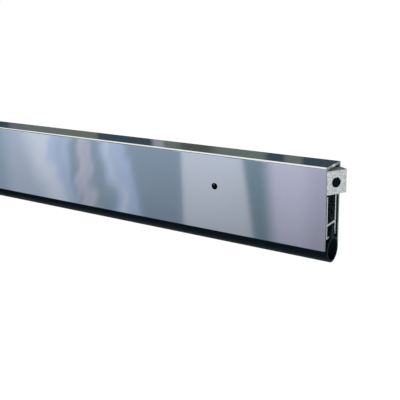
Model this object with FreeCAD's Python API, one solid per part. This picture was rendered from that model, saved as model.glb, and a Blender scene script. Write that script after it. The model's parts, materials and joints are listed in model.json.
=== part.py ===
# Automatic door bottom seal for fixing to the face of a door.
# Millimetres. The origin is the middle of the back face, which lies against the door.
# +X runs along the door towards the plunger end, +Y into the door, +Z up.
# All pieces stand with the plunger out and the seal up.
import FreeCAD
import Part
import math
import os

# Housing channel
LENGTH = 460.0
HEIGHT = 50.0
DEPTH = 20.0
WALL = 1.5
TOP_WEB = 1.6
TOP_EDGE_RADIUS = 1.2

# Holes for the fixing screws, through both walls
FIXING_HOLE_DIAMETER = 4.2
FIXING_HOLE_FROM_END = 75.0
FIXING_HOLE_FROM_TOP = 20.6
FIXING_NOTCH_GAP = 1.0

# Motion
PLUNGER_TRAVEL = 6.0
SEAL_DROP = 9.0
ROCKER_HALF_SWING = 11.0
HEAD_REST_CANT = 32.0

# Clearances
RUNNING_CLEARANCE = 0.05
SLOT_CLEARANCE = 0.08
SLOT_END_CLEARANCE = 0.25
SLIDE_CLEARANCE = 0.2
SIDE_CLEARANCE = 0.3
BODY_GAP = 0.4

# Plunger head and its fork
HEAD_WIDTH = 14.4
HEAD_HEIGHT = 14.2
HEAD_DEPTH = 6.8
HEAD_EDGE_RADIUS = 0.5
HEAD_TOP_GAP = 1.2
HEAD_PIVOT_INSET = 0.1
HEAD_PIN_DIAMETER = 2.0
HEAD_PIN_INSET = 0.2
BUFFER_DIAMETER = 6.0
BUFFER_BORE_DEPTH = 1.9
BUFFER_RECESS = 0.3
PRONG_THICKNESS = 2.4
PRONG_WIDTH = 3.8
PRONG_SPACING = 10.0
FORK_BASE_THICKNESS = 3.4
SHANK_DIAMETER = 3.0
SHANK_IN_ROD = 11.0
SHANK_SHOWING = 3.0
NUT_ACROSS_FLATS = 5.5
NUT_THICKNESS = 2.4

# Push rod and its springs
ROD_WIDTH = 8.0
ROD_HEIGHT = 5.0
ROD_TAIL = 6.0
ROD_WINDOW_GAP = 0.8
DRIVE_PIN_DIAMETER = 2.5
SPRING_WIRE = 1.2
SPRING_LENGTH = 34.0
SPRING_TURNS = 9
SPRING_END_GAP = 0.1
COLLAR_LENGTH = 4.0
COLLAR_PIN_DIAMETER = 1.6
COLLAR_PIN_INSET = 0.3

# Rockers and their carriers
ROCKER_FROM_END = 134.0
ROCKER_THICKNESS = 3.2
ROCKER_BOSS_RADIUS = 4.0
ROCKER_RIM = 1.6
PIVOT_PIN_DIAMETER = 3.0
CARRIER_LEFT_REACH = 7.0
CARRIER_RIGHT_REACH = 9.0
CARRIER_EDGE = 1.2
GUIDE_PIN_DIAMETER = 3.0
GUIDE_PIN_OFFSET = 5.2

# Guide block near the plunger
PLUNGER_GUIDE_FROM_END = 32.0
PLUNGER_GUIDE_LENGTH = 12.0

# Countersunk screws through the back wall
SCREW_DIAMETER = 3.0
SCREW_HEAD_DIAMETER = 5.5
SCREW_LENGTH = 7.4
SCREW_HEAD_INSET = 0.1
SCREW_SLOT_WIDTH = 0.8
SCREW_SLOT_DEPTH = 0.6

# Drop bar
BAR_SIDE_GAP = 2.0
BAR_FLANGE = 1.2
BAR_WEB = 1.2
BAR_END_RECESS = 0.55
BAR_CHEEK_GAP = 0.5
BAR_FLOOR_GAP = 2.2
BAR_EDGE = 1.2
LIFT_PIN_DIAMETER = 3.0
SEAL_POCKET_HEIGHT = 6.6
SEAL_MOUTH_WIDTH = 5.0
LIP_THICKNESS = 1.2

# Rubber seal
BULB_WALL = 1.5
BULB_SIDE_GAP = 0.6
BULB_LIP_GAP = 0.15
SEAL_OVERHANG = 0.8
SEAL_NECK_GAP = 0.2
FOOT_TOP_GAP = 0.5
FOOT_BARB_REACH = 0.4
FOOT_BARB_EDGE = 0.8
FOOT_TIP_WIDTH = 3.6

# Places worked out from the sizes above
half_length = LENGTH / 2
top = HEIGHT / 2
bottom = -HEIGHT / 2
middle_y = -DEPTH / 2
inner_top = top - TOP_WEB
inner_half_width = DEPTH / 2 - WALL
back_inner_y = -WALL
front_inner_y = WALL - DEPTH
fixing_x = half_length - FIXING_HOLE_FROM_END
fixing_z = top - FIXING_HOLE_FROM_TOP

rod_z = inner_top - HEAD_TOP_GAP - HEAD_HEIGHT / 2
rod_top = rod_z + ROD_HEIGHT / 2
rod_bottom = rod_z - ROD_HEIGHT / 2
head_bottom = rod_z - HEAD_HEIGHT / 2
head_pivot_x = half_length - HEAD_PIVOT_INSET
head_swing_radius = math.hypot(HEAD_WIDTH, HEAD_DEPTH) / 2

swing = math.radians(ROCKER_HALF_SWING)
drive_arm = PLUNGER_TRAVEL / 2 / math.tan(swing)
lift_arm = SEAL_DROP / 2 / math.tan(swing)
pivot_z = rod_z - drive_arm
lift_pin_z = pivot_z + SEAL_DROP / 2
rocker_places = {
    "right": half_length - ROCKER_FROM_END,
    "left": ROCKER_FROM_END - half_length,
}

bar_half_width = inner_half_width - BAR_SIDE_GAP
bar_inner_half_width = bar_half_width - BAR_FLANGE
bar_top = lift_pin_z + LIFT_PIN_DIAMETER / 2 + BAR_EDGE
guide_slot_top = bar_top - BAR_EDGE
guide_pin_z = guide_slot_top - SLOT_END_CLEARANCE - GUIDE_PIN_DIAMETER / 2 - SEAL_DROP
carrier_bottom = guide_pin_z - GUIDE_PIN_DIAMETER / 2 - CARRIER_EDGE
carrier_shoulder = bar_top + BODY_GAP
bar_floor = carrier_bottom - BAR_FLOOR_GAP
pocket_top = bar_floor - BAR_WEB
pocket_bottom = pocket_top - SEAL_POCKET_HEIGHT
bar_bottom = pocket_bottom - LIP_THICKNESS

bulb_radius = inner_half_width - BULB_SIDE_GAP
bulb_rise = math.sqrt(bulb_radius ** 2 - (SEAL_MOUTH_WIDTH / 2) ** 2)
bulb_centre_z = bar_bottom - BULB_LIP_GAP - bulb_rise

rocker_slot_half_width = ROCKER_THICKNESS / 2 + SIDE_CLEARANCE
cheek_half_width = bar_inner_half_width - BAR_CHEEK_GAP
screw_z = (carrier_shoulder + rod_bottom - SLIDE_CLEARANCE) / 2

spring_inner_radius = math.hypot(ROD_WIDTH, ROD_HEIGHT) / 2 + SIDE_CLEARANCE
collar_radius = spring_inner_radius + SPRING_WIRE

fork_base_front = head_pivot_x - head_swing_radius - BODY_GAP
fork_base_back = fork_base_front - FORK_BASE_THICKNESS
nut_front = fork_base_back - SHANK_SHOWING
rod_front = nut_front - NUT_THICKNESS
rod_back = rocker_places["left"] - ROD_TAIL - PLUNGER_TRAVEL / 2


# Simple shapes

def box(x_low, x_high, y_low, y_high, z_low, z_high):
    corner = FreeCAD.Vector(x_low, y_low, z_low)
    return Part.makeBox(x_high - x_low, y_high - y_low, z_high - z_low, corner)


def box_about_middle(x_low, x_high, half_width, z_low, z_high):
    return box(x_low, x_high, middle_y - half_width, middle_y + half_width, z_low, z_high)


def rod_along_x(x_low, x_high, y, z, radius):
    return Part.makeCylinder(radius, x_high - x_low, FreeCAD.Vector(x_low, y, z), FreeCAD.Vector(1, 0, 0))


def pin_across(x, z, radius, half_width):
    start = FreeCAD.Vector(x, middle_y - half_width, z)
    return Part.makeCylinder(radius, 2 * half_width, start, FreeCAD.Vector(0, 1, 0))


def pin_upright(x, y, z_low, z_high, radius):
    return Part.makeCylinder(radius, z_high - z_low, FreeCAD.Vector(x, y, z_low), FreeCAD.Vector(0, 0, 1))


def plate(points, half_width):
    # A flat plate of that outline in X and Z, centred on the middle plane
    corners = [FreeCAD.Vector(x, middle_y - half_width, z) for x, z in points]
    outline = Part.makePolygon(corners + corners[:1])
    return Part.Face(outline).extrude(FreeCAD.Vector(0, 2 * half_width, 0))


def link(start, start_radius, end, end_radius, half_width):
    # A plate around two circles, joined by the straight lines that touch both
    span_x = end[0] - start[0]
    span_z = end[1] - start[1]
    along = math.atan2(span_z, span_x)
    lean = math.acos((start_radius - end_radius) / math.hypot(span_x, span_z))
    points = []
    for centre, radius, side in (
        (start, start_radius, 1),
        (end, end_radius, 1),
        (end, end_radius, -1),
        (start, start_radius, -1),
    ):
        angle = along + side * lean
        points.append((centre[0] + radius * math.cos(angle), centre[1] + radius * math.sin(angle)))
    body = plate(points, half_width)
    start_disc = pin_across(start[0], start[1], start_radius, half_width)
    end_disc = pin_across(end[0], end[1], end_radius, half_width)
    return body.fuse([start_disc, end_disc])


def turned(shape, x, y, z, axis, degrees):
    copy = shape.copy()
    copy.rotate(FreeCAD.Vector(x, y, z), axis, degrees)
    return copy


# Fixing screw holes and the countersunk screws that hold the inner blocks

def fixing_holes():
    radius = FIXING_HOLE_DIAMETER / 2
    return [pin_across(x, fixing_z, radius, DEPTH) for x in (fixing_x, -fixing_x)]


def countersunk_screw(x):
    head_radius = SCREW_HEAD_DIAMETER / 2
    shank_radius = SCREW_DIAMETER / 2
    head_height = head_radius - shank_radius
    towards_front = FreeCAD.Vector(0, -1, 0)
    head_face = FreeCAD.Vector(x, -SCREW_HEAD_INSET, screw_z)
    head = Part.makeCone(head_radius, shank_radius, head_height, head_face, towards_front)
    shank = Part.makeCylinder(shank_radius, SCREW_LENGTH, head_face, towards_front)
    return head.fuse(shank).removeSplitter()


def slotted_screw(x):
    slot_reach = SCREW_HEAD_DIAMETER / 2 + SCREW_HEAD_INSET
    slot = box(
        x - slot_reach, x + slot_reach,
        -SCREW_HEAD_INSET - SCREW_SLOT_DEPTH, 0,
        screw_z - SCREW_SLOT_WIDTH / 2, screw_z + SCREW_SLOT_WIDTH / 2,
    )
    return countersunk_screw(x).cut(slot)


def screw_hole(x):
    # The screw's own form, opened out to the back face
    mouth_start = FreeCAD.Vector(x, -SCREW_HEAD_INSET, screw_z)
    into_door = FreeCAD.Vector(0, 1, 0)
    mouth = Part.makeCylinder(SCREW_HEAD_DIAMETER / 2, SCREW_HEAD_INSET, mouth_start, into_door)
    return countersunk_screw(x).fuse(mouth)


# Housing

def screw_places():
    guide_x = half_length - PLUNGER_GUIDE_FROM_END - PLUNGER_GUIDE_LENGTH / 2
    return [guide_x] + list(rocker_places.values())


def housing():
    outside = box(-half_length, half_length, -DEPTH, 0, bottom, top)
    top_edges = []
    for edge in outside.Edges:
        middle = edge.CenterOfMass
        if abs(middle.x) < half_length / 2 and abs(middle.z - top) < TOP_WEB / 2:
            top_edges.append(edge)
    outside = outside.makeFillet(TOP_EDGE_RADIUS, top_edges)
    hollow = box_about_middle(-half_length, half_length, inner_half_width, bottom, inner_top)
    cuts = [hollow] + fixing_holes() + [screw_hole(x) for x in screw_places()]
    return outside.cut(cuts)


# Drop bar and its rubber

def guide_slots(x):
    width = GUIDE_PIN_DIAMETER / 2 + SLIDE_CLEARANCE
    low = guide_pin_z - SLOT_END_CLEARANCE
    high = guide_pin_z + SEAL_DROP + SLOT_END_CLEARANCE
    slot = box_about_middle(x - width, x + width, DEPTH, low, high)
    return slot.fuse([pin_across(x, z, width, DEPTH) for z in (low, high)])


def fixing_notch(x):
    reach = FIXING_HOLE_DIAMETER / 2 + FIXING_NOTCH_GAP
    rounded_end = pin_across(x, fixing_z, reach, DEPTH)
    open_top = box_about_middle(x - reach, x + reach, DEPTH, fixing_z, fixing_z + HEIGHT)
    return rounded_end.fuse(open_top)


def head_relief():
    # Keeps the flanges below the plunger head along its travel
    reach = head_pivot_x - PLUNGER_TRAVEL - head_swing_radius - BODY_GAP
    return box_about_middle(reach, half_length, DEPTH, head_bottom - BODY_GAP, top)


def drop_bar():
    x_high = half_length - BAR_END_RECESS
    x_low = -x_high
    outside = box_about_middle(x_low, x_high, bar_half_width, bar_bottom, bar_top)
    upper_channel = box_about_middle(x_low, x_high, bar_inner_half_width, bar_floor, bar_top)
    pocket = box_about_middle(x_low, x_high, bar_inner_half_width, pocket_bottom, pocket_top)
    mouth = box_about_middle(x_low, x_high, SEAL_MOUTH_WIDTH / 2, bar_bottom, pocket_bottom)
    cuts = [upper_channel, pocket.fuse(mouth), head_relief()]
    cuts += [fixing_notch(x) for x in (fixing_x, -fixing_x)]
    for x in rocker_places.values():
        cuts.append(guide_slots(x + GUIDE_PIN_OFFSET))
        cuts.append(pin_across(x - lift_arm, lift_pin_z, LIFT_PIN_DIAMETER / 2, DEPTH))
    return outside.cut(cuts)


def lift_pin(x):
    return pin_across(x - lift_arm, lift_pin_z, LIFT_PIN_DIAMETER / 2, bar_half_width)


def arrow_foot(x_low, x_high):
    # Neck between the lips and, above them, two barbs that taper up to a tip
    neck = SEAL_MOUTH_WIDTH / 2 - SEAL_NECK_GAP
    barb = SEAL_MOUTH_WIDTH / 2 + FOOT_BARB_REACH
    one_side = [
        (neck, bulb_centre_z),
        (neck, pocket_bottom),
        (barb, pocket_bottom),
        (barb, pocket_bottom + FOOT_BARB_EDGE),
        (FOOT_TIP_WIDTH / 2, pocket_top - FOOT_TOP_GAP),
    ]
    outline = one_side + [(-y, z) for y, z in reversed(one_side)]
    corners = [FreeCAD.Vector(x_low, middle_y + y, z) for y, z in outline]
    section = Part.Face(Part.makePolygon(corners + corners[:1]))
    return section.extrude(FreeCAD.Vector(x_high - x_low, 0, 0))


def bulb_seal():
    x_high = half_length + SEAL_OVERHANG
    bulb = rod_along_x(-x_high, x_high, middle_y, bulb_centre_z, bulb_radius)
    hollow = rod_along_x(-x_high, x_high, middle_y, bulb_centre_z, bulb_radius - BULB_WALL)
    return bulb.fuse(arrow_foot(-x_high, x_high)).cut(hollow).removeSplitter()


# Plunger head, canted as it rests

def canted(shape):
    return turned(shape, head_pivot_x, middle_y, 0, FreeCAD.Vector(0, 0, 1), -HEAD_REST_CANT)


def prong_levels():
    return [rod_z - PRONG_SPACING / 2, rod_z + PRONG_SPACING / 2]


def prong_slot(z):
    half_height = PRONG_THICKNESS / 2 + SIDE_CLEARANCE
    cant = math.radians(HEAD_REST_CANT)
    half_depth = HEAD_DEPTH / 2
    half_width = PRONG_WIDTH / 2 / math.cos(cant) + half_depth * math.tan(cant) + BODY_GAP
    slot_end = head_pivot_x + PRONG_WIDTH / 2 + SIDE_CLEARANCE
    return box_about_middle(
        head_pivot_x - half_depth, slot_end, half_width, z - half_height, z + half_height
    )


def head_pin_hole(radius):
    return pin_upright(head_pivot_x, middle_y, head_bottom, head_bottom + HEAD_HEIGHT, radius)


def plunger_head():
    half_depth = HEAD_DEPTH / 2
    face_x = head_pivot_x + half_depth
    block = box_about_middle(
        head_pivot_x - half_depth, face_x, HEAD_WIDTH / 2, head_bottom, head_bottom + HEAD_HEIGHT
    )
    block = block.makeFillet(HEAD_EDGE_RADIUS, block.Edges)
    buffer_bore = rod_along_x(face_x - BUFFER_BORE_DEPTH, face_x, middle_y, rod_z, BUFFER_DIAMETER / 2)
    cuts = [buffer_bore, head_pin_hole(HEAD_PIN_DIAMETER / 2)]
    cuts += [prong_slot(z) for z in prong_levels()]
    return canted(block.cut(cuts))


def strike_buffer():
    face_x = head_pivot_x + HEAD_DEPTH / 2
    disc = rod_along_x(
        face_x - BUFFER_BORE_DEPTH, face_x - BUFFER_RECESS, middle_y, rod_z, BUFFER_DIAMETER / 2
    )
    return canted(disc)


def head_pivot_pin():
    low = head_bottom + HEAD_PIN_INSET
    high = head_bottom + HEAD_HEIGHT - HEAD_PIN_INSET
    return pin_upright(head_pivot_x, middle_y, low, high, HEAD_PIN_DIAMETER / 2)


# Fork, lock nut and push rod

def prong(z):
    low = z - PRONG_THICKNESS / 2
    high = z + PRONG_THICKNESS / 2
    arm = box_about_middle(fork_base_front, head_pivot_x, PRONG_WIDTH / 2, low, high)
    eye = pin_upright(head_pivot_x, middle_y, low, high, PRONG_WIDTH / 2)
    return arm.fuse(eye)


def plunger_fork():
    reach = PRONG_SPACING / 2 + PRONG_THICKNESS / 2
    base = box_about_middle(
        fork_base_back, fork_base_front, PRONG_WIDTH / 2, rod_z - reach, rod_z + reach
    )
    shank = rod_along_x(rod_front - SHANK_IN_ROD, fork_base_back, middle_y, rod_z, SHANK_DIAMETER / 2)
    fork = base.fuse([prong(z) for z in prong_levels()] + [shank])
    return fork.cut(head_pin_hole(HEAD_PIN_DIAMETER / 2 + RUNNING_CLEARANCE)).removeSplitter()


def adjuster_lock_nut():
    corner_radius = NUT_ACROSS_FLATS / 2 / math.cos(math.pi / 6)
    corners = []
    for step in range(7):
        angle = step * math.pi / 3
        y = middle_y + corner_radius * math.cos(angle)
        z = rod_z + corner_radius * math.sin(angle)
        corners.append(FreeCAD.Vector(rod_front, y, z))
    hexagon = Part.Face(Part.makePolygon(corners))
    nut = hexagon.extrude(FreeCAD.Vector(NUT_THICKNESS, 0, 0))
    return nut.cut(rod_along_x(rod_front, nut_front, middle_y, rod_z, SHANK_DIAMETER / 2))


def drive_pin_x(x):
    return x + PLUNGER_TRAVEL / 2


def rocker_window(x):
    # Lets a rocker's upper arm through the push rod
    lean = ROD_HEIGHT / 2 * math.tan(swing)
    half_length_of_window = drive_tip_radius() / math.cos(swing) + lean + ROD_WINDOW_GAP
    centre = drive_pin_x(x)
    return box_about_middle(
        centre - half_length_of_window, centre + half_length_of_window,
        rocker_slot_half_width, rod_bottom, rod_top,
    )


def collar_start(x):
    return x + CARRIER_RIGHT_REACH + SPRING_LENGTH


def collar_pin_axis(x, low, high):
    centre = collar_start(x) + COLLAR_LENGTH / 2
    return pin_upright(centre, middle_y, low, high, COLLAR_PIN_DIAMETER / 2)


def push_rod():
    bar = box_about_middle(rod_back, rod_front, ROD_WIDTH / 2, rod_bottom, rod_top)
    cuts = [rod_along_x(rod_front - SHANK_IN_ROD, rod_front, middle_y, rod_z, SHANK_DIAMETER / 2)]
    for x in rocker_places.values():
        cuts.append(rocker_window(x))
        cuts.append(pin_across(drive_pin_x(x), rod_z, DRIVE_PIN_DIAMETER / 2, ROD_WIDTH / 2))
        cuts.append(collar_pin_axis(x, rod_bottom, rod_top))
    return bar.cut(cuts)


def drive_pin(x):
    return pin_across(drive_pin_x(x), rod_z, DRIVE_PIN_DIAMETER / 2, ROD_WIDTH / 2)


# Springs and their collars on the push rod

def half_turn(step, coil_radius, climb):
    # Half a turn of wire in a tilted plane, so that each one meets the next without a kink
    side = 1 if step % 2 == 0 else -1
    centre = FreeCAD.Vector(0, 0, (step + 0.5) * climb)
    start = FreeCAD.Vector(side * coil_radius, 0, step * climb)
    axis = FreeCAD.Vector(side * climb / 2, 0, coil_radius)
    section = Part.makeCircle(SPRING_WIRE / 2, start, FreeCAD.Vector(0, 1, 0))
    return Part.Face(Part.Wire(section)).revolve(centre, axis, 180)


def return_spring(x):
    start = x + CARRIER_RIGHT_REACH + SPRING_END_GAP + SPRING_WIRE / 2
    coil_radius = spring_inner_radius + SPRING_WIRE / 2
    half_turns = 2 * SPRING_TURNS
    climb = (SPRING_LENGTH - 2 * SPRING_END_GAP - SPRING_WIRE) / half_turns
    turns = [half_turn(step, coil_radius, climb) for step in range(half_turns)]
    coil = turns[0].fuse(turns[1:])
    coil.rotate(FreeCAD.Vector(0, 0, 0), FreeCAD.Vector(0, 1, 0), 90)
    coil.translate(FreeCAD.Vector(start, middle_y, rod_z))
    return coil


def spring_collar(x):
    start = collar_start(x)
    ring = rod_along_x(start, start + COLLAR_LENGTH, middle_y, rod_z, collar_radius)
    rod_hole = box_about_middle(start, start + COLLAR_LENGTH, ROD_WIDTH / 2, rod_bottom, rod_top)
    pin_hole = collar_pin_axis(x, rod_z - 2 * collar_radius, rod_z + 2 * collar_radius)
    return ring.cut([rod_hole, pin_hole])


def collar_pin(x):
    reach = collar_radius - COLLAR_PIN_INSET
    return collar_pin_axis(x, rod_z - reach, rod_z + reach)


# Rockers and the carriers they hang in

def drive_tip_radius():
    return DRIVE_PIN_DIAMETER / 2 + SLOT_CLEARANCE + ROCKER_RIM


def lift_tip_radius():
    return LIFT_PIN_DIAMETER / 2 + SLOT_CLEARANCE + ROCKER_RIM


def arm_slot_ends(arm):
    return arm - SLOT_END_CLEARANCE, arm / math.cos(swing) + SLOT_END_CLEARANCE


def rocker_lever(x):
    # Made in mid swing, then turned to where it rests
    half_width = ROCKER_THICKNESS / 2
    drive_near, drive_far = arm_slot_ends(drive_arm)
    lift_near, lift_far = arm_slot_ends(lift_arm)
    pivot = (x, pivot_z)
    upper_arm = link(pivot, ROCKER_BOSS_RADIUS, (x, pivot_z + drive_far), drive_tip_radius(), half_width)
    lower_arm = link(pivot, ROCKER_BOSS_RADIUS, (x - lift_far, pivot_z), lift_tip_radius(), half_width)
    bore = pin_across(x, pivot_z, PIVOT_PIN_DIAMETER / 2 + RUNNING_CLEARANCE, DEPTH)
    drive_width = DRIVE_PIN_DIAMETER / 2 + SLOT_CLEARANCE
    lift_width = LIFT_PIN_DIAMETER / 2 + SLOT_CLEARANCE
    drive_slot = link(
        (x, pivot_z + drive_near), drive_width, (x, pivot_z + drive_far), drive_width, DEPTH
    )
    lift_slot = link((x - lift_near, pivot_z), lift_width, (x - lift_far, pivot_z), lift_width, DEPTH)
    lever = upper_arm.fuse(lower_arm).removeSplitter().cut([bore, drive_slot, lift_slot])
    return turned(lever, x, middle_y, pivot_z, FreeCAD.Vector(0, 1, 0), ROCKER_HALF_SWING)


def rocker_pivot_pin(x):
    return pin_across(x, pivot_z, PIVOT_PIN_DIAMETER / 2, cheek_half_width)


def guide_pin(x):
    return pin_across(x + GUIDE_PIN_OFFSET, guide_pin_z, GUIDE_PIN_DIAMETER / 2, bar_half_width)


def rod_passage(x_low, x_high):
    half_width = ROD_WIDTH / 2 + SLIDE_CLEARANCE
    return box_about_middle(
        x_low, x_high, half_width, rod_bottom - SLIDE_CLEARANCE, rod_top + SLIDE_CLEARANCE
    )


def inner_block(x_low, x_high):
    # Lies against the back wall and clears the front wall and the top
    front = front_inner_y + SLIDE_CLEARANCE
    return box(x_low, x_high, front, back_inner_y, carrier_shoulder, inner_top - SLIDE_CLEARANCE)


def rocker_carrier(x):
    x_low = x - CARRIER_LEFT_REACH
    x_high = x + CARRIER_RIGHT_REACH
    block = inner_block(x_low, x_high)
    cheeks = box_about_middle(x_low, x_high, cheek_half_width, carrier_bottom, carrier_shoulder)
    slot_top = pivot_z + arm_slot_ends(drive_arm)[1] + drive_tip_radius() + BODY_GAP
    rocker_slot = box_about_middle(x_low, x_high, rocker_slot_half_width, carrier_bottom, slot_top)
    cuts = [rocker_slot, rod_passage(x_low, x_high), countersunk_screw(x)]
    cuts.append(pin_across(x, pivot_z, PIVOT_PIN_DIAMETER / 2, cheek_half_width))
    cuts.append(pin_across(x + GUIDE_PIN_OFFSET, guide_pin_z, GUIDE_PIN_DIAMETER / 2, cheek_half_width))
    return block.fuse(cheeks).cut(cuts).removeSplitter()


def plunger_guide():
    x_high = half_length - PLUNGER_GUIDE_FROM_END
    x_low = x_high - PLUNGER_GUIDE_LENGTH
    cuts = [rod_passage(x_low, x_high), countersunk_screw(screw_places()[0])]
    return inner_block(x_low, x_high).cut(cuts)


# Every piece by name

def pieces():
    found = {
        "housing": housing(),
        "drop_bar": drop_bar(),
        "bulb_seal": bulb_seal(),
        "plunger_head": plunger_head(),
        "strike_buffer": strike_buffer(),
        "head_pivot_pin": head_pivot_pin(),
        "plunger_fork": plunger_fork(),
        "adjuster_lock_nut": adjuster_lock_nut(),
        "push_rod": push_rod(),
        "plunger_guide": plunger_guide(),
        "guide_screw": slotted_screw(screw_places()[0]),
    }
    for side, x in rocker_places.items():
        found["rocker_carrier_" + side] = rocker_carrier(x)
        found["carrier_screw_" + side] = slotted_screw(x)
        found["rocker_lever_" + side] = rocker_lever(x)
        found["rocker_pivot_pin_" + side] = rocker_pivot_pin(x)
        found["drive_pin_" + side] = drive_pin(x)
        found["lift_pin_" + side] = lift_pin(x)
        found["guide_pin_" + side] = guide_pin(x)
        found["return_spring_" + side] = return_spring(x)
        found["spring_collar_" + side] = spring_collar(x)
        found["collar_pin_" + side] = collar_pin(x)
    return found


os.makedirs("parts", exist_ok=True)
for name, shape in pieces().items():
    shape.exportStep("parts/" + name + ".step")
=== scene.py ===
# Looks for the automatic door bottom seal, in metres, in the part's own frame
import json
import math
import bpy
import bmesh
from mathutils import Matrix, Vector


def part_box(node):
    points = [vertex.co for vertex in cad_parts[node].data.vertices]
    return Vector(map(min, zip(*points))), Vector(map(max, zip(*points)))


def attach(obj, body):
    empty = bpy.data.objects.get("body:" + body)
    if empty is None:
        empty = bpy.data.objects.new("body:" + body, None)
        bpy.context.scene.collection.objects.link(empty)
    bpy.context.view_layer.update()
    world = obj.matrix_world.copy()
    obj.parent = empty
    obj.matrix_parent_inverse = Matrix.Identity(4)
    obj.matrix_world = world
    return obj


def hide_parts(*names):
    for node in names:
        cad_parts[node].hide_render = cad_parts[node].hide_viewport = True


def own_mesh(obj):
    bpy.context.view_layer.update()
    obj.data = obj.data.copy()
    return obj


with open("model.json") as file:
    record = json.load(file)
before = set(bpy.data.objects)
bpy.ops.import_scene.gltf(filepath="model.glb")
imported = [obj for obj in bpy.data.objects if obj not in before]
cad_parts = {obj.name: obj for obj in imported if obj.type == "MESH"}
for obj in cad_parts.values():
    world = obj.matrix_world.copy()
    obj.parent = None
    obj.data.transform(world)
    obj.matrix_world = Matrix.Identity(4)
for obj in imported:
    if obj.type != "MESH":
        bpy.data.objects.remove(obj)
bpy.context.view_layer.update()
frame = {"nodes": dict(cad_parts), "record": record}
housing_low, housing_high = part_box("housing")
MILLIMETRE = 0.001

# Camera, placed from the housing's front top corner at the plunger end
CAMERA_AZIMUTH = math.radians(34.68)
CAMERA_ELEVATION = math.radians(16.87)
CAMERA_ROLL = math.radians(-1.7)
CAMERA_LENS = 62.0
CAMERA_BACK = 0.3845
CAMERA_LEFT = 0.0705
CAMERA_DOWN = 0.0178

# Studio
FLOOR_DROP = 0.6
FLOOR_REACH = 60.0
FLOOR_GREY = 0.5
FLOOR_GLOW = 0.98
WORLD_LEVEL = 0.08
BACKDROP_LEVEL = 1.0
KEY_LAMP_PLACE = (1.35, -1.0, -0.25)
KEY_LAMP_AIM = (0.2, 0, 0)
KEY_LAMP_SIZE = 0.6
KEY_LAMP_POWER = 18

# Two rings of upright panels around the part, seen only by what mirrors them
SURROUND_RADIUS = 1.0
SURROUND_MIDDLE_X = 0.05
SURROUND_SIDES = 180
EYE_LEVEL = 0.02
SURROUND_TOP = 0.56

# Tones of the panels
GLOW = (0.62, 0.68, 0.69)
PALE = (0.52, 0.57, 0.65)
LILAC = (0.51, 0.52, 0.65)
DUSK = (0.42, 0.43, 0.53)
MIST = (0.34, 0.40, 0.49)
BLUE = (0.37, 0.46, 0.63)
ROSE = (0.45, 0.46, 0.53)
SLATE = (0.23, 0.30, 0.38)
SHADE = (0.18, 0.26, 0.31)
STONE = (0.28, 0.30, 0.32)
ASH = (0.13, 0.14, 0.16)
OLIVE = (0.135, 0.165, 0.145)
MOSS = (0.075, 0.090, 0.085)
DEEP = (0.042, 0.066, 0.082)

# Panels below eye level: start and soft edge in degrees, lean in degrees per metre, tone
LOWER_PANELS = (
    (-180.0, 3.0, 0, STONE), (-150.0, 3.0, 0, SLATE), (-143.0, 2.0, 0, MIST), (-139.4, 2.6, -14, PALE),
    (-137.0, 0.5, -12, BLUE), (-136.2, 0.4, -8, MIST), (-135.7, 0.3, -8, BLUE), (-135.2, 0.4, -6, SLATE),
    (-134.4, 0.3, -4, ROSE), (-133.8, 0.3, -4, MIST), (-133.3, 0.3, -4, ROSE), (-132.7, 0.5, -4, SLATE),
    (-130.9, 0.4, -8, BLUE), (-130.3, 0.3, -8, PALE), (-129.8, 0.4, -8, BLUE), (-128.0, 0.7, -8, SLATE),
    (-121.8, 0.25, 0, PALE), (-114.0, 0.5, -7, SHADE),
    (-111.1, 2.2, -4, LILAC), (-106.0, 3.0, 0, DUSK), (-95.0, 4.0, 0, SHADE), (-80.0, 4.0, 0, DEEP),
    (30.0, 4.0, 0, GLOW), (100.0, 2.0, 0, SHADE), (105.0, 1.0, 0, PALE),
    (130.0, 1.0, 0, SLATE), (150.0, 2.0, 0, LILAC), (170.0, 2.0, 0, STONE),
)

# The lower panels dim downwards: gain per metre, the level of their full tone and the least share of it
LOWER_FADE = 2.4
LOWER_FULL = -0.25
LOWER_LEAST = 0.2

# Where the panels hang in folds, in degrees, so that their edges wander
FOLDS_FROM = -139.5
FOLDS_TO = -128.0
FOLDS_BLEND = 1.5
FOLDS_WANDER = 2.0
FOLDS_STRETCH = (9.0, 9.0, 21.0)

# Panels above eye level, which don't dim
UPPER_FADE = 0.0
UPPER_PANELS = (
    (-180.0, 3.0, 0, DEEP), (-150.0, 2.0, 0, OLIVE), (-130.0, 2.0, 0, MOSS), (-110.0, 2.0, 0, OLIVE),
    (-80.0, 2.0, 0, DEEP), (30.0, 4.0, 0, GLOW), (95.0, 2.0, 0, DEEP),
    (107.9, 0.8, 0, OLIVE), (110.1, 0.8, 0, DEEP), (112.4, 1.2, 0, OLIVE), (119.0, 2.0, 0, MOSS),
    (123.3, 1.5, 0, OLIVE), (125.3, 0.6, 0, STONE), (126.7, 0.8, 0, DEEP), (133.5, 0.5, 0, OLIVE),
    (142.2, 1.0, 0, ASH), (144.0, 0.6, 0, DEEP), (155.0, 2.0, 0, OLIVE), (165.0, 2.0, 0, DEEP),
)

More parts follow.
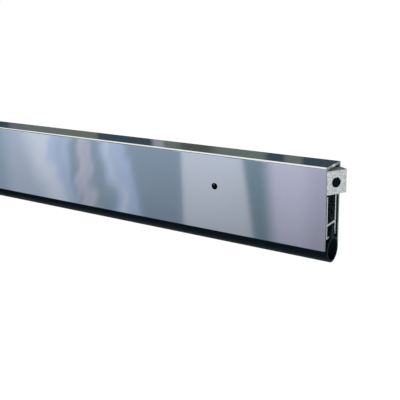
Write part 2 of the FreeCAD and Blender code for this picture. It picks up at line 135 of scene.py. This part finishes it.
# Colours of the finishes, in pairs that their grain mixes
ANODISED = ((0.80, 0.81, 0.84), (0.86, 0.87, 0.90))
ANODISED_SAWN = ((0.43, 0.46, 0.47), (0.51, 0.54, 0.55))
# Extruded skin of the drop bar: its own aluminium grain, darkened and tinted green as painted shade of the
# channel's inside
EXTRUDED_AND_SHADE = ((0.40, 0.49, 0.49), (0.52, 0.61, 0.61))
EXTRUDED_SAWN = ((0.72, 0.75, 0.74), (0.84, 0.86, 0.85))
RUBBER_SKIN = ((0.002, 0.006, 0.009), (0.004, 0.010, 0.014))
RUBBER_CUT = ((0.006, 0.015, 0.017), (0.010, 0.021, 0.023))
GREY_GRAINS = ((0.28, 0.29, 0.30), (0.84, 0.86, 0.88))
GREY_CLOUD = (0.60, 0.615, 0.625)
BLACK_GRAINS = ((0.014, 0.015, 0.016), (0.030, 0.031, 0.032))
ZINC = ((0.48, 0.49, 0.51), (0.66, 0.66, 0.65))
DRAWN_WIRE = ((0.30, 0.30, 0.31), (0.44, 0.44, 0.45))
# Painted shade: near-black for the walls of the fixing holes, where the hollow lies in shade
HOLE_PAINTED_SHADE = (0.012, 0.014, 0.016)

# Sawn ends: the least share by which they face along the length, their roughness and their marks
SAWN_FACING = 0.9
SAWN_ROUGHNESS = 0.6
SAW_MARKS_STRETCH = (300.0, 400.0, 5000.0)

# Walls of the fixing holes, painted dark as painted shade: how far past their radius the painted shade
# reaches, and their roughness
HOLE_EDGE = 0.00004
HOLE_ROUGHNESS = 0.7

# Coil springs
SPRING_WIRE = 0.0012
SPRING_TURNS = 9
SPRING_CLOSED_TURNS = 1
STEPS_PER_TURN = 32
WIRE_SIDES = 12


# Node helpers

def new_material(name):
    material = bpy.data.materials.new(name)
    material.use_nodes = True
    tree = material.node_tree
    return material, tree, tree.nodes["Principled BSDF"]


def bare_material(name):
    material = bpy.data.materials.new(name)
    material.use_nodes = True
    tree = material.node_tree
    tree.nodes.clear()
    return material, tree, add_node(tree, "ShaderNodeOutputMaterial")


def add_node(tree, kind, values=None, **settings):
    made = tree.nodes.new(kind)
    for key, value in settings.items():
        setattr(made, key, value)
    for key, value in (values or {}).items():
        made.inputs[key].default_value = value
    return made


def feed(tree, value, socket):
    if isinstance(value, bpy.types.NodeSocket):
        tree.links.new(value, socket)
    elif socket.type == "RGBA":
        socket.default_value = (*value, 1.0)
    else:
        socket.default_value = value


def coordinates(tree, kind):
    # X, Y and Z of the place on the object, or of the way its surface faces
    place = add_node(tree, "ShaderNodeTexCoord")
    parts = add_node(tree, "ShaderNodeSeparateXYZ")
    tree.links.new(place.outputs[kind], parts.inputs["Vector"])
    return parts.outputs


def noise(tree, scale=1.0, detail=3.0, roughness=0.5, stretch=(1, 1, 1)):
    place = add_node(tree, "ShaderNodeTexCoord")
    mapping = add_node(tree, "ShaderNodeMapping", {"Scale": stretch})
    made = add_node(tree, "ShaderNodeTexNoise", {"Scale": scale, "Detail": detail, "Roughness": roughness})
    tree.links.new(place.outputs["Object"], mapping.inputs["Vector"])
    tree.links.new(mapping.outputs["Vector"], made.inputs["Vector"])
    return made.outputs["Fac"]


def spread(tree, source, low, high, from_low=0.3, from_high=0.7):
    made = add_node(tree, "ShaderNodeMapRange", {"From Min": from_low, "From Max": from_high})
    made.inputs["To Min"].default_value = low
    made.inputs["To Max"].default_value = high
    tree.links.new(source, made.inputs["Value"])
    return made.outputs["Result"]


def mix_colour(tree, factor, first, second):
    made = add_node(tree, "ShaderNodeMix", data_type="RGBA")
    colours = [socket for socket in made.inputs if socket.type == "RGBA"]
    feed(tree, first, colours[0])
    feed(tree, second, colours[1])
    tree.links.new(factor, made.inputs["Factor"])
    return [socket for socket in made.outputs if socket.type == "RGBA"][0]


def mix_value(tree, factor, first, second):
    made = add_node(tree, "ShaderNodeMix", data_type="FLOAT")
    feed(tree, first, made.inputs["A"])
    feed(tree, second, made.inputs["B"])
    tree.links.new(factor, made.inputs["Factor"])
    return made.outputs["Result"]


def math_node(tree, operation, first, second=0.0):
    made = add_node(tree, "ShaderNodeMath", operation=operation)
    feed(tree, first, made.inputs[0])
    feed(tree, second, made.inputs[1])
    return made.outputs[0]


def paint(tree, shader, factor, first, second):
    feed(tree, mix_colour(tree, factor, first, second), shader.inputs["Base Color"])


def roughen(tree, shader, roughness):
    feed(tree, roughness, shader.inputs["Roughness"])


def make_metal(shader):
    shader.inputs["Metallic"].default_value = 1.0


def bump(tree, shader, height, strength, distance):
    made = add_node(tree, "ShaderNodeBump", {"Strength": strength, "Distance": distance})
    tree.links.new(height, made.inputs["Height"])
    tree.links.new(made.outputs["Normal"], shader.inputs["Normal"])


# Features of the pieces that the finishes show

def sawn_ends(tree):
    # 1 where the surface faces along the length, as the sawn or cut ends do
    facing = math_node(tree, "ABSOLUTE", coordinates(tree, "Normal")["X"])
    return math_node(tree, "GREATER_THAN", facing, SAWN_FACING)


def saw_marks(tree):
    return noise(tree, detail=2.0, stretch=SAW_MARKS_STRETCH)


def hole_shade_mask(tree):
    # 1 inside the two fixing holes, whose walls are painted dark as painted shade of the hollow
    pattern = next(mount for mount in frame["record"]["mounts"] if mount["name"] == "fixing_holes")
    place = coordinates(tree, "Object")
    away = math_node(tree, "ABSOLUTE", place["X"])
    along = math_node(tree, "SUBTRACT", away, pattern["dims"]["spacing_x_mm"] / 2 * MILLIMETRE)
    above = math_node(tree, "SUBTRACT", place["Z"], pattern["pos_m"][2])
    squares = math_node(tree, "MULTIPLY", along, along)
    squares = math_node(tree, "ADD", squares, math_node(tree, "MULTIPLY", above, above))
    radius = pattern["dims"]["hole_r_mm"] * MILLIMETRE + HOLE_EDGE
    return math_node(tree, "LESS_THAN", squares, radius * radius)


# Finishes

def polished_aluminium():
    material, tree, shader = new_material("polished_aluminium")
    lines = noise(tree, detail=4.0, roughness=0.6, stretch=(2.0, 1400.0, 1400.0))
    haze = noise(tree, scale=28.0, detail=2.0)
    waves = noise(tree, detail=2.0, roughness=0.4, stretch=(14.0, 40.0, 40.0))
    sawn = sawn_ends(tree)
    marks = saw_marks(tree)
    hole_shade = hole_shade_mask(tree)
    face = mix_colour(tree, haze, *ANODISED)
    end = mix_colour(tree, marks, *ANODISED_SAWN)
    outside = mix_colour(tree, sawn, face, end)
    # Painted shade darkens the walls of the fixing holes
    paint(tree, shader, hole_shade, outside, HOLE_PAINTED_SHADE)
    gloss = mix_value(tree, sawn, spread(tree, lines, low=0.05, high=0.08), SAWN_ROUGHNESS)
    roughen(tree, shader, mix_value(tree, hole_shade, gloss, HOLE_ROUGHNESS))
    make_metal(shader)
    shader.inputs["Anisotropic"].default_value = 0.85
    tangent = add_node(tree, "ShaderNodeTangent", direction_type="RADIAL", axis="X")
    tree.links.new(tangent.outputs["Tangent"], shader.inputs["Tangent"])
    bump(tree, shader, mix_value(tree, sawn, waves, marks), strength=0.02, distance=0.001)
    return material


def mill_aluminium():
    material, tree, shader = new_material("mill_aluminium")
    lines = noise(tree, detail=4.0, roughness=0.65, stretch=(3.0, 900.0, 900.0))
    sawn = sawn_ends(tree)
    marks = saw_marks(tree)
    # The extruded faces carry painted shade of the channel's inside, darker and greener than bare
    # aluminium
    face = mix_colour(tree, lines, *EXTRUDED_AND_SHADE)
    end = mix_colour(tree, marks, *EXTRUDED_SAWN)
    paint(tree, shader, sawn, face, end)
    gloss = spread(tree, lines, low=0.18, high=0.28)
    roughen(tree, shader, mix_value(tree, sawn, gloss, SAWN_ROUGHNESS))
    make_metal(shader)
    bump(tree, shader, mix_value(tree, sawn, lines, marks), strength=0.1, distance=0.0002)
    return material


def black_rubber():
    material, tree, shader = new_material("black_rubber")
    lines = noise(tree, roughness=0.6, stretch=(6.0, 1500.0, 1500.0))
    bloom = noise(tree, scale=60.0, detail=4.0, roughness=0.6)
    skin = mix_colour(tree, bloom, *RUBBER_SKIN)
    cut = mix_colour(tree, bloom, *RUBBER_CUT)
    paint(tree, shader, sawn_ends(tree), skin, cut)
    roughen(tree, shader, spread(tree, bloom, low=0.38, high=0.52))
    shader.inputs["Specular IOR Level"].default_value = 0.02
    bump(tree, shader, lines, strength=0.2, distance=0.0001)
    return material


def grey_nylon():
    material, tree, shader = new_material("grey_nylon")
    grains = noise(tree, scale=900.0, roughness=0.7)
    clouds = noise(tree, scale=300.0, detail=2.0)
    speckle = mix_colour(tree, spread(tree, grains, low=0.0, high=1.0), *GREY_GRAINS)
    paint(tree, shader, spread(tree, clouds, low=0.0, high=0.4), speckle, GREY_CLOUD)
    roughen(tree, shader, spread(tree, grains, low=0.48, high=0.64))
    bump(tree, shader, grains, strength=0.35, distance=0.0002)
    return material


def black_nylon():
    material, tree, shader = new_material("black_nylon")
    grains = noise(tree, scale=900.0)
    paint(tree, shader, grains, *BLACK_GRAINS)
    roughen(tree, shader, spread(tree, grains, low=0.42, high=0.6))
    bump(tree, shader, grains, strength=0.25, distance=0.0001)
    return material


def zinc_steel():
    material, tree, shader = new_material("zinc_steel")
    spangle = noise(tree, scale=420.0, roughness=0.6)
    scratches = noise(tree, roughness=0.6, stretch=(40.0, 1600.0, 1600.0))
    paint(tree, shader, spangle, *ZINC)
    roughen(tree, shader, spread(tree, scratches, low=0.26, high=0.42))
    make_metal(shader)
    bump(tree, shader, scratches, strength=0.1, distance=0.0001)
    return material


def spring_steel():
    material, tree, shader = new_material("spring_steel")
    drawn = noise(tree, scale=700.0, roughness=0.6)
    paint(tree, shader, drawn, *DRAWN_WIRE)
    roughen(tree, shader, spread(tree, drawn, low=0.24, high=0.36))
    make_metal(shader)
    bump(tree, shader, drawn, strength=0.1, distance=0.0001)
    return material


def dress_cad_nodes():
    finishes = {
        "polished_aluminium": polished_aluminium(),
        "mill_aluminium": mill_aluminium(),
        "black_rubber": black_rubber(),
        "grey_nylon": grey_nylon(),
        "black_nylon": black_nylon(),
        "steel": zinc_steel(),
    }
    for part in frame["record"]["subparts"]:
        thing = frame["nodes"][part["node"]]
        thing.data.materials.clear()
        thing.data.materials.append(finishes[part["material_slot"]])


def add_object(name, data):
    thing = bpy.data.objects.new(name, data)
    bpy.context.scene.collection.objects.link(thing)
    return thing


# Coil springs, with their end turns closed up

def climb_share(turn, closed_share):
    # The end turns lie against their neighbours, and the rest climb evenly between them
    if turn <= SPRING_CLOSED_TURNS:
        return closed_share * turn / SPRING_CLOSED_TURNS
    left = SPRING_TURNS - turn
    if left <= SPRING_CLOSED_TURNS:
        return 1 - closed_share * left / SPRING_CLOSED_TURNS
    open_turns = SPRING_TURNS - 2 * SPRING_CLOSED_TURNS
    return closed_share + (1 - 2 * closed_share) * (turn - SPRING_CLOSED_TURNS) / open_turns


def coil_rings(made, low, high):
    # Rings of points around the wire, one for each step along the coil
    wire = SPRING_WIRE / 2
    middle = (low + high) / 2
    coil_radius = (high.z - low.z) / 2 - wire
    run = high.x - low.x - 2 * wire
    rings = []
    for step in range(SPRING_TURNS * STEPS_PER_TURN + 1):
        turn = step / STEPS_PER_TURN
        angle = 2 * math.pi * turn
        x = low.x + wire + run * climb_share(turn, SPRING_WIRE / run)
        ring = []
        for side in range(WIRE_SIDES):
            around = 2 * math.pi * side / WIRE_SIDES
            radius = coil_radius + wire * math.cos(around)
            y = middle.y + radius * math.cos(angle)
            z = middle.z + radius * math.sin(angle)
            ring.append(made.verts.new((x + wire * math.sin(around), y, z)))
        rings.append(ring)
    return rings


def coil_mesh(name, low, high):
    made = bmesh.new()
    rings = coil_rings(made, low, high)
    for first, second in zip(rings, rings[1:]):
        for side in range(WIRE_SIDES):
            after = (side + 1) % WIRE_SIDES
            made.faces.new((first[side], first[after], second[after], second[side])).smooth = True
    made.faces.new(rings[0])
    made.faces.new(rings[-1])
    bmesh.ops.recalc_face_normals(made, faces=made.faces)
    mesh = bpy.data.meshes.new(name)
    made.to_mesh(mesh)
    made.free()
    return mesh


def add_springs():
    finish = spring_steel()
    for side in ("right", "left"):
        cad_node = "return_spring_" + side
        low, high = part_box(cad_node)
        coil = add_object("coil_" + side, coil_mesh("coil_" + side, low, high))
        coil.data.materials.append(finish)
        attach(coil, "housing")
        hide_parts(cad_node)
        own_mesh(coil)


# Panels around the part

def soft_step(tree, value, edge, blend):
    step = add_node(tree, "ShaderNodeMapRange", interpolation_type="SMOOTHSTEP")
    step.inputs["From Min"].default_value = math.radians(edge - blend / 2)
    step.inputs["From Max"].default_value = math.radians(edge + blend / 2)
    tree.links.new(value, step.inputs["Value"])
    return step.outputs["Result"]


def wandering(tree, angle):
    # Moves the panels' edges to and fro along their height where they hang in folds
    begins = soft_step(tree, angle, FOLDS_FROM, FOLDS_BLEND)
    ends = soft_step(tree, angle, FOLDS_TO, FOLDS_BLEND)
    within = math_node(tree, "SUBTRACT", begins, ends)
    amount = math_node(tree, "MULTIPLY", within, math.radians(FOLDS_WANDER))
    folds = spread(tree, noise(tree, detail=2.0, stretch=FOLDS_STRETCH), low=-0.5, high=0.5)
    return math_node(tree, "ADD", angle, math_node(tree, "MULTIPLY", folds, amount))


def panel_colour(tree, angle, above, panels):
    colour = panels[0][3]
    for start, blend, lean, tone in panels[1:]:
        upright = angle
        if lean:
            leaning = math_node(tree, "MULTIPLY", above, math.radians(lean))
            upright = math_node(tree, "SUBTRACT", angle, leaning)
        colour = mix_colour(tree, soft_step(tree, upright, start, blend), colour, tone)
    return colour


def panel_material(name, panels, fade):
    material, tree, out = bare_material(name)
    place = coordinates(tree, "Object")
    angle = math_node(tree, "ARCTAN2", place["Y"], place["X"])
    above = math_node(tree, "SUBTRACT", place["Z"], LOWER_FULL)
    light = add_node(tree, "ShaderNodeEmission")
    feed(tree, panel_colour(tree, wandering(tree, angle), above, panels), light.inputs["Color"])
    if fade:
        level = math_node(tree, "ADD", math_node(tree, "MULTIPLY", above, fade), 1.0)
        feed(tree, math_node(tree, "MAXIMUM", level, LOWER_LEAST), light.inputs["Strength"])
    tree.links.new(light.outputs[0], out.inputs["Surface"])
    return material


def ring_mesh(name, low, high):
    points = []
    faces = []
    for side in range(SURROUND_SIDES):
        angle = 2 * math.pi * side / SURROUND_SIDES
        x = SURROUND_RADIUS * math.cos(angle)
        y = SURROUND_RADIUS * math.sin(angle)
        points += [(x, y, low), (x, y, high)]
        after = (side + 1) % SURROUND_SIDES
        faces.append((2 * side, 2 * side + 1, 2 * after + 1, 2 * after))
    mesh = bpy.data.meshes.new(name)
    mesh.from_pydata(points, [], faces)
    return mesh


def add_surround(name, low, high, panels, fade):
    ring = add_object(name, ring_mesh(name, low, high))
    ring.location.x = SURROUND_MIDDLE_X
    ring.data.materials.append(panel_material(name, panels, fade))
    ring.visible_camera = False
    ring.visible_diffuse = False
    ring.visible_shadow = False


# Floor, light and camera

def seen_directly(tree):
    # 1 for what the camera sees, straight, mirrored or through glass
    path = add_node(tree, "ShaderNodeLightPath")
    seen = math_node(tree, "MAXIMUM", path.outputs["Is Camera Ray"], path.outputs["Is Glossy Ray"])
    return math_node(tree, "MAXIMUM", seen, path.outputs["Is Transmission Ray"])


def floor_material():
    material, tree, out = bare_material("floor")
    matte = add_node(tree, "ShaderNodeBsdfDiffuse", {"Color": (FLOOR_GREY, FLOOR_GREY, FLOOR_GREY, 1)})
    glow = add_node(tree, "ShaderNodeEmission")
    feed(tree, math_node(tree, "MULTIPLY", seen_directly(tree), FLOOR_GLOW), glow.inputs["Strength"])
    both = add_node(tree, "ShaderNodeAddShader")
    tree.links.new(matte.outputs[0], both.inputs[0])
    tree.links.new(glow.outputs[0], both.inputs[1])
    tree.links.new(both.outputs[0], out.inputs["Surface"])
    return material


def add_floor():
    z = housing_low.z - FLOOR_DROP
    r = FLOOR_REACH
    mesh = bpy.data.meshes.new("floor")
    mesh.from_pydata([(-r, -r, z), (r, -r, z), (r, r, z), (-r, r, z)], [], [(0, 1, 2, 3)])
    mesh.materials.append(floor_material())
    add_object("floor", mesh)


def add_world():
    world = bpy.data.worlds.new("studio")
    bpy.context.scene.world = world
    world.use_nodes = True
    tree = world.node_tree
    tree.nodes.clear()
    sky = add_node(tree, "ShaderNodeBackground", {"Color": (1, 1, 1, 1)})
    level = spread(tree, seen_directly(tree), WORLD_LEVEL, BACKDROP_LEVEL, from_low=0.0, from_high=1.0)
    feed(tree, level, sky.inputs["Strength"])
    out = add_node(tree, "ShaderNodeOutputWorld")
    tree.links.new(sky.outputs[0], out.inputs["Surface"])


def add_lamp(name, place, aim, size, power):
    data = bpy.data.lights.new(name, "AREA")
    data.size = size
    data.energy = power
    lamp = add_object(name, data)
    lamp.location = place
    lamp.rotation_euler = (Vector(aim) - Vector(place)).to_track_quat("-Z", "Y").to_euler()


def add_camera():
    right = Vector((math.cos(CAMERA_AZIMUTH), math.sin(CAMERA_AZIMUTH), 0))
    level_back = Vector((math.sin(CAMERA_AZIMUTH), -math.cos(CAMERA_AZIMUTH), 0))
    back = level_back * math.cos(CAMERA_ELEVATION) + Vector((0, 0, math.sin(CAMERA_ELEVATION)))
    right = Matrix.Rotation(CAMERA_ROLL, 3, back) @ right
    up = back.cross(right)
    corner = Vector((housing_high.x, housing_low.y, housing_high.z))
    place = corner + back * CAMERA_BACK - right * CAMERA_LEFT - up * CAMERA_DOWN
    camera = add_object("camera", bpy.data.cameras.new("camera"))
    camera.data.lens = CAMERA_LENS
    camera.matrix_world = Matrix.Translation(place) @ Matrix((right, up, back)).transposed().to_4x4()
    bpy.context.scene.camera = camera


dress_cad_nodes()
add_springs()
add_floor()
add_surround("lower_panels", housing_low.z - FLOOR_DROP, EYE_LEVEL, LOWER_PANELS, LOWER_FADE)
add_surround("upper_panels", EYE_LEVEL, SURROUND_TOP, UPPER_PANELS, UPPER_FADE)
add_world()
add_lamp("key_lamp", KEY_LAMP_PLACE, KEY_LAMP_AIM, KEY_LAMP_SIZE, KEY_LAMP_POWER)
add_camera()
bpy.context.scene.view_settings.view_transform = "Standard"
